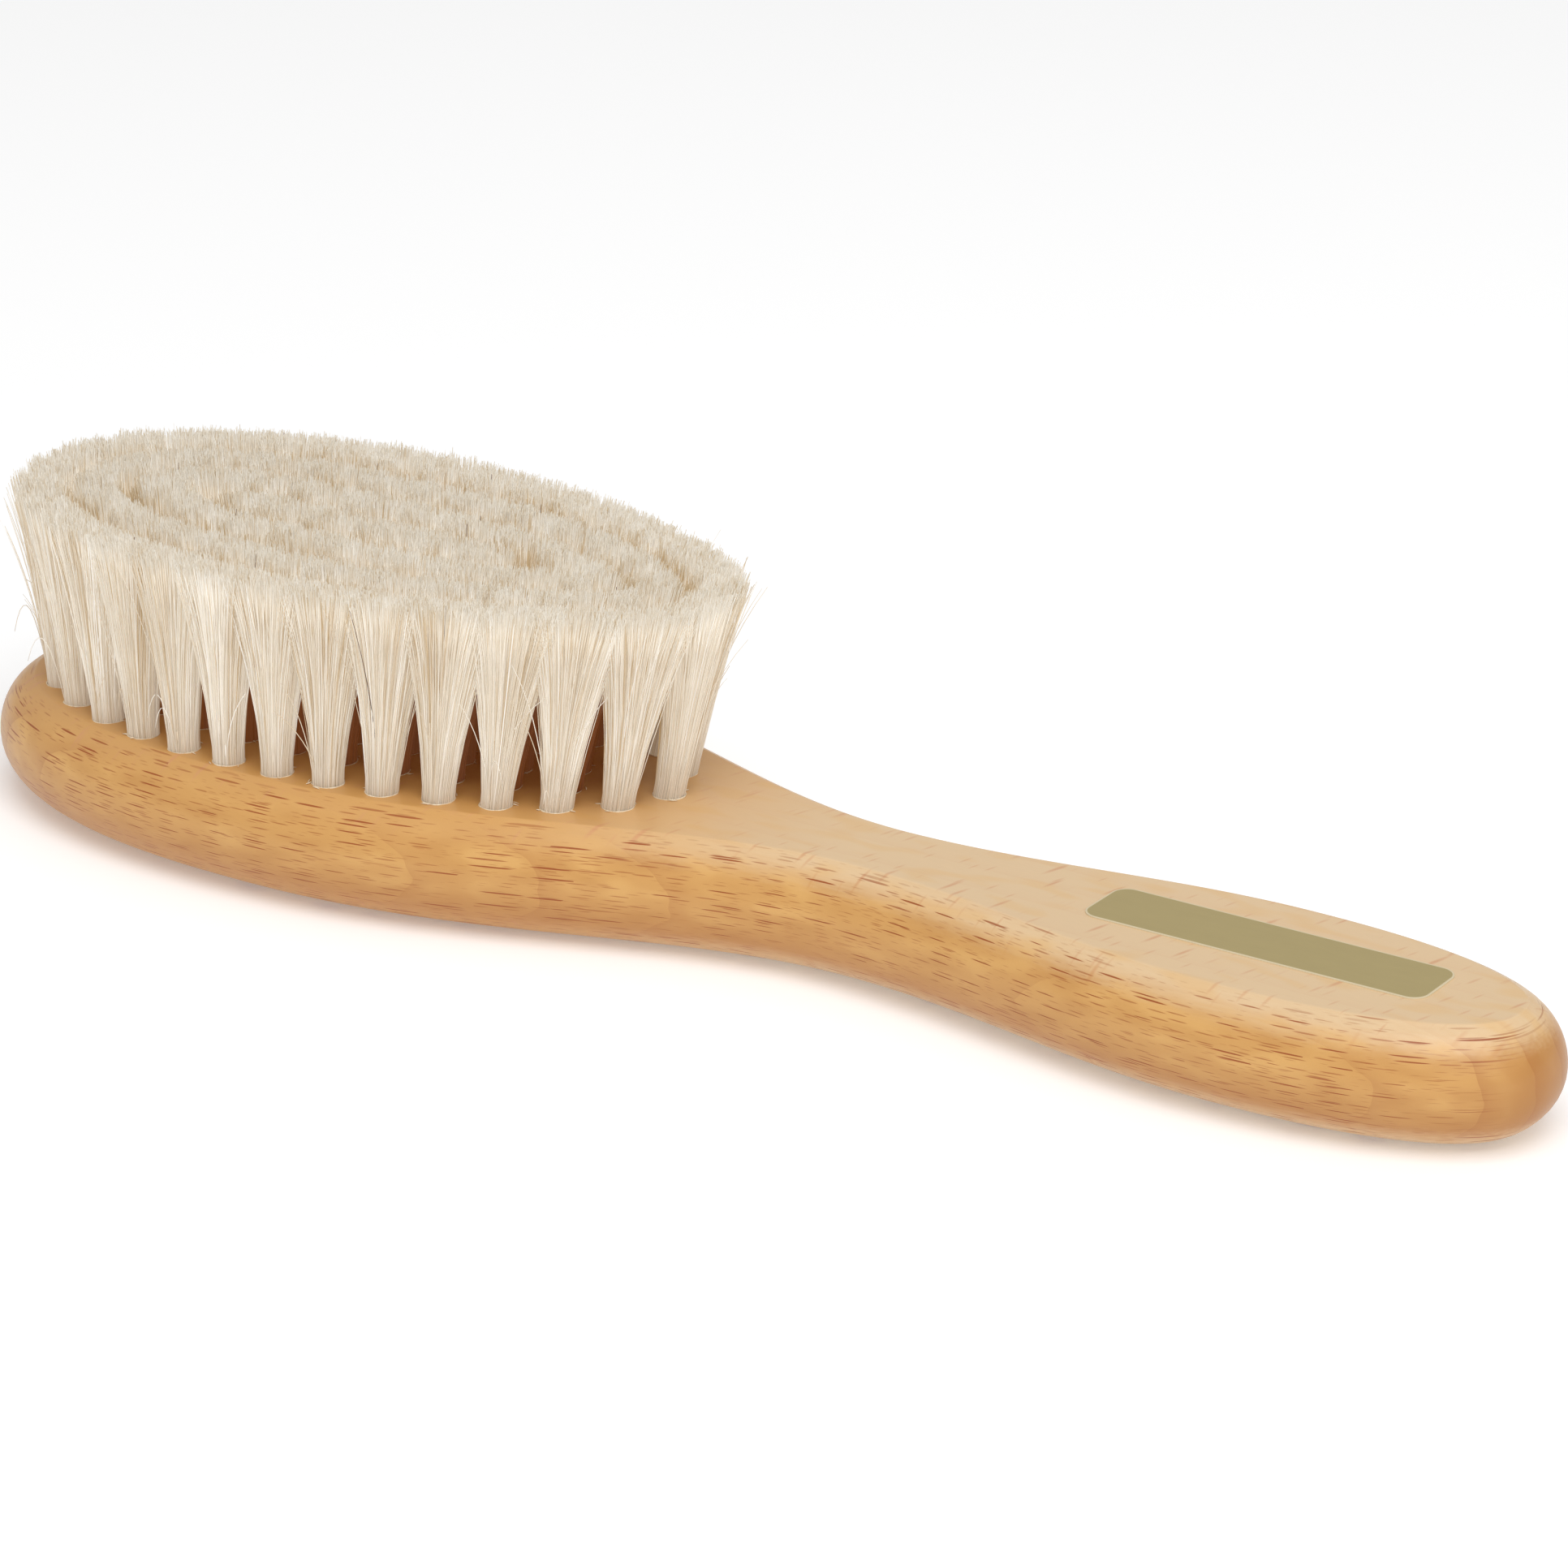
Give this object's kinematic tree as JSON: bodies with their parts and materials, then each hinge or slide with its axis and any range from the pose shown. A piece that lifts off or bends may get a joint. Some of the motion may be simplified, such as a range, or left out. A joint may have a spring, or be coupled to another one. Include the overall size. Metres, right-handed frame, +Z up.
{
  "type": "clothes brush",
  "caption": "Soft hand brush with an egg-shaped wooden head, a waisted handle and a level oval field of pale hair tufts.",
  "frame": {"origin": "below the middle of the brush's length, on the surface that its flat back lies on", "axes": "+X runs along the brush from the head to the end of the handle, +Y across it, +Z up from the flat back towards the tips of the hair"},
  "size_m": [0.175, 0.0454, 0.033],
  "materials": {
    "wood": "clear-lacquered beech, satin gloss, short dark flecks along the grain",
    "hair": "fine straight ivory goat hair, soft sheen, trimmed level",
    "label_foil": "matt gold-olive foil film, bare",
    "anchor_metal": "plain drawn flat wire"
  },
  "bodies": {
    "root": {"wood_body": "wood", "label": "label_foil", "tuft_outer_1": "hair", "tuft_outer_2": "hair", "tuft_outer_3": "hair", "tuft_outer_4": "hair", "tuft_outer_5": "hair", "tuft_outer_6": "hair", "tuft_outer_7": "hair", "tuft_outer_8": "hair", "tuft_outer_9": "hair", "tuft_outer_10": "hair", "tuft_outer_11": "hair", "tuft_outer_12": "hair", "tuft_outer_13": "hair", "tuft_outer_14": "hair", "tuft_outer_15": "hair", "tuft_outer_16": "hair", "tuft_outer_17": "hair", "tuft_outer_18": "hair", "tuft_outer_19": "hair", "tuft_outer_20": "hair", "tuft_outer_21": "hair", "tuft_outer_22": "hair", "tuft_outer_23": "hair", "tuft_outer_24": "hair", "tuft_outer_25": "hair", "tuft_outer_26": "hair", "tuft_outer_27": "hair", "tuft_outer_28": "hair", "tuft_outer_29": "hair", "tuft_outer_30": "hair", "tuft_middle_1": "hair", "tuft_middle_2": "hair", "tuft_middle_3": "hair", "tuft_middle_4": "hair", "tuft_middle_5": "hair", "tuft_middle_6": "hair", "tuft_middle_7": "hair", "tuft_middle_8": "hair", "tuft_middle_9": "hair", "tuft_middle_10": "hair", "tuft_middle_11": "hair", "tuft_middle_12": "hair", "tuft_middle_13": "hair", "tuft_middle_14": "hair", "tuft_middle_15": "hair", "tuft_middle_16": "hair", "tuft_middle_17": "hair", "tuft_middle_18": "hair", "tuft_middle_19": "hair", "tuft_middle_20": "hair", "tuft_middle_21": "hair", "tuft_middle_22": "hair", "tuft_middle_23": "hair", "tuft_middle_24": "hair", "tufts_inner": "hair", "tufts_centre": "hair", "tuft_anchors": "anchor_metal"}
  },
  "joints": []
}
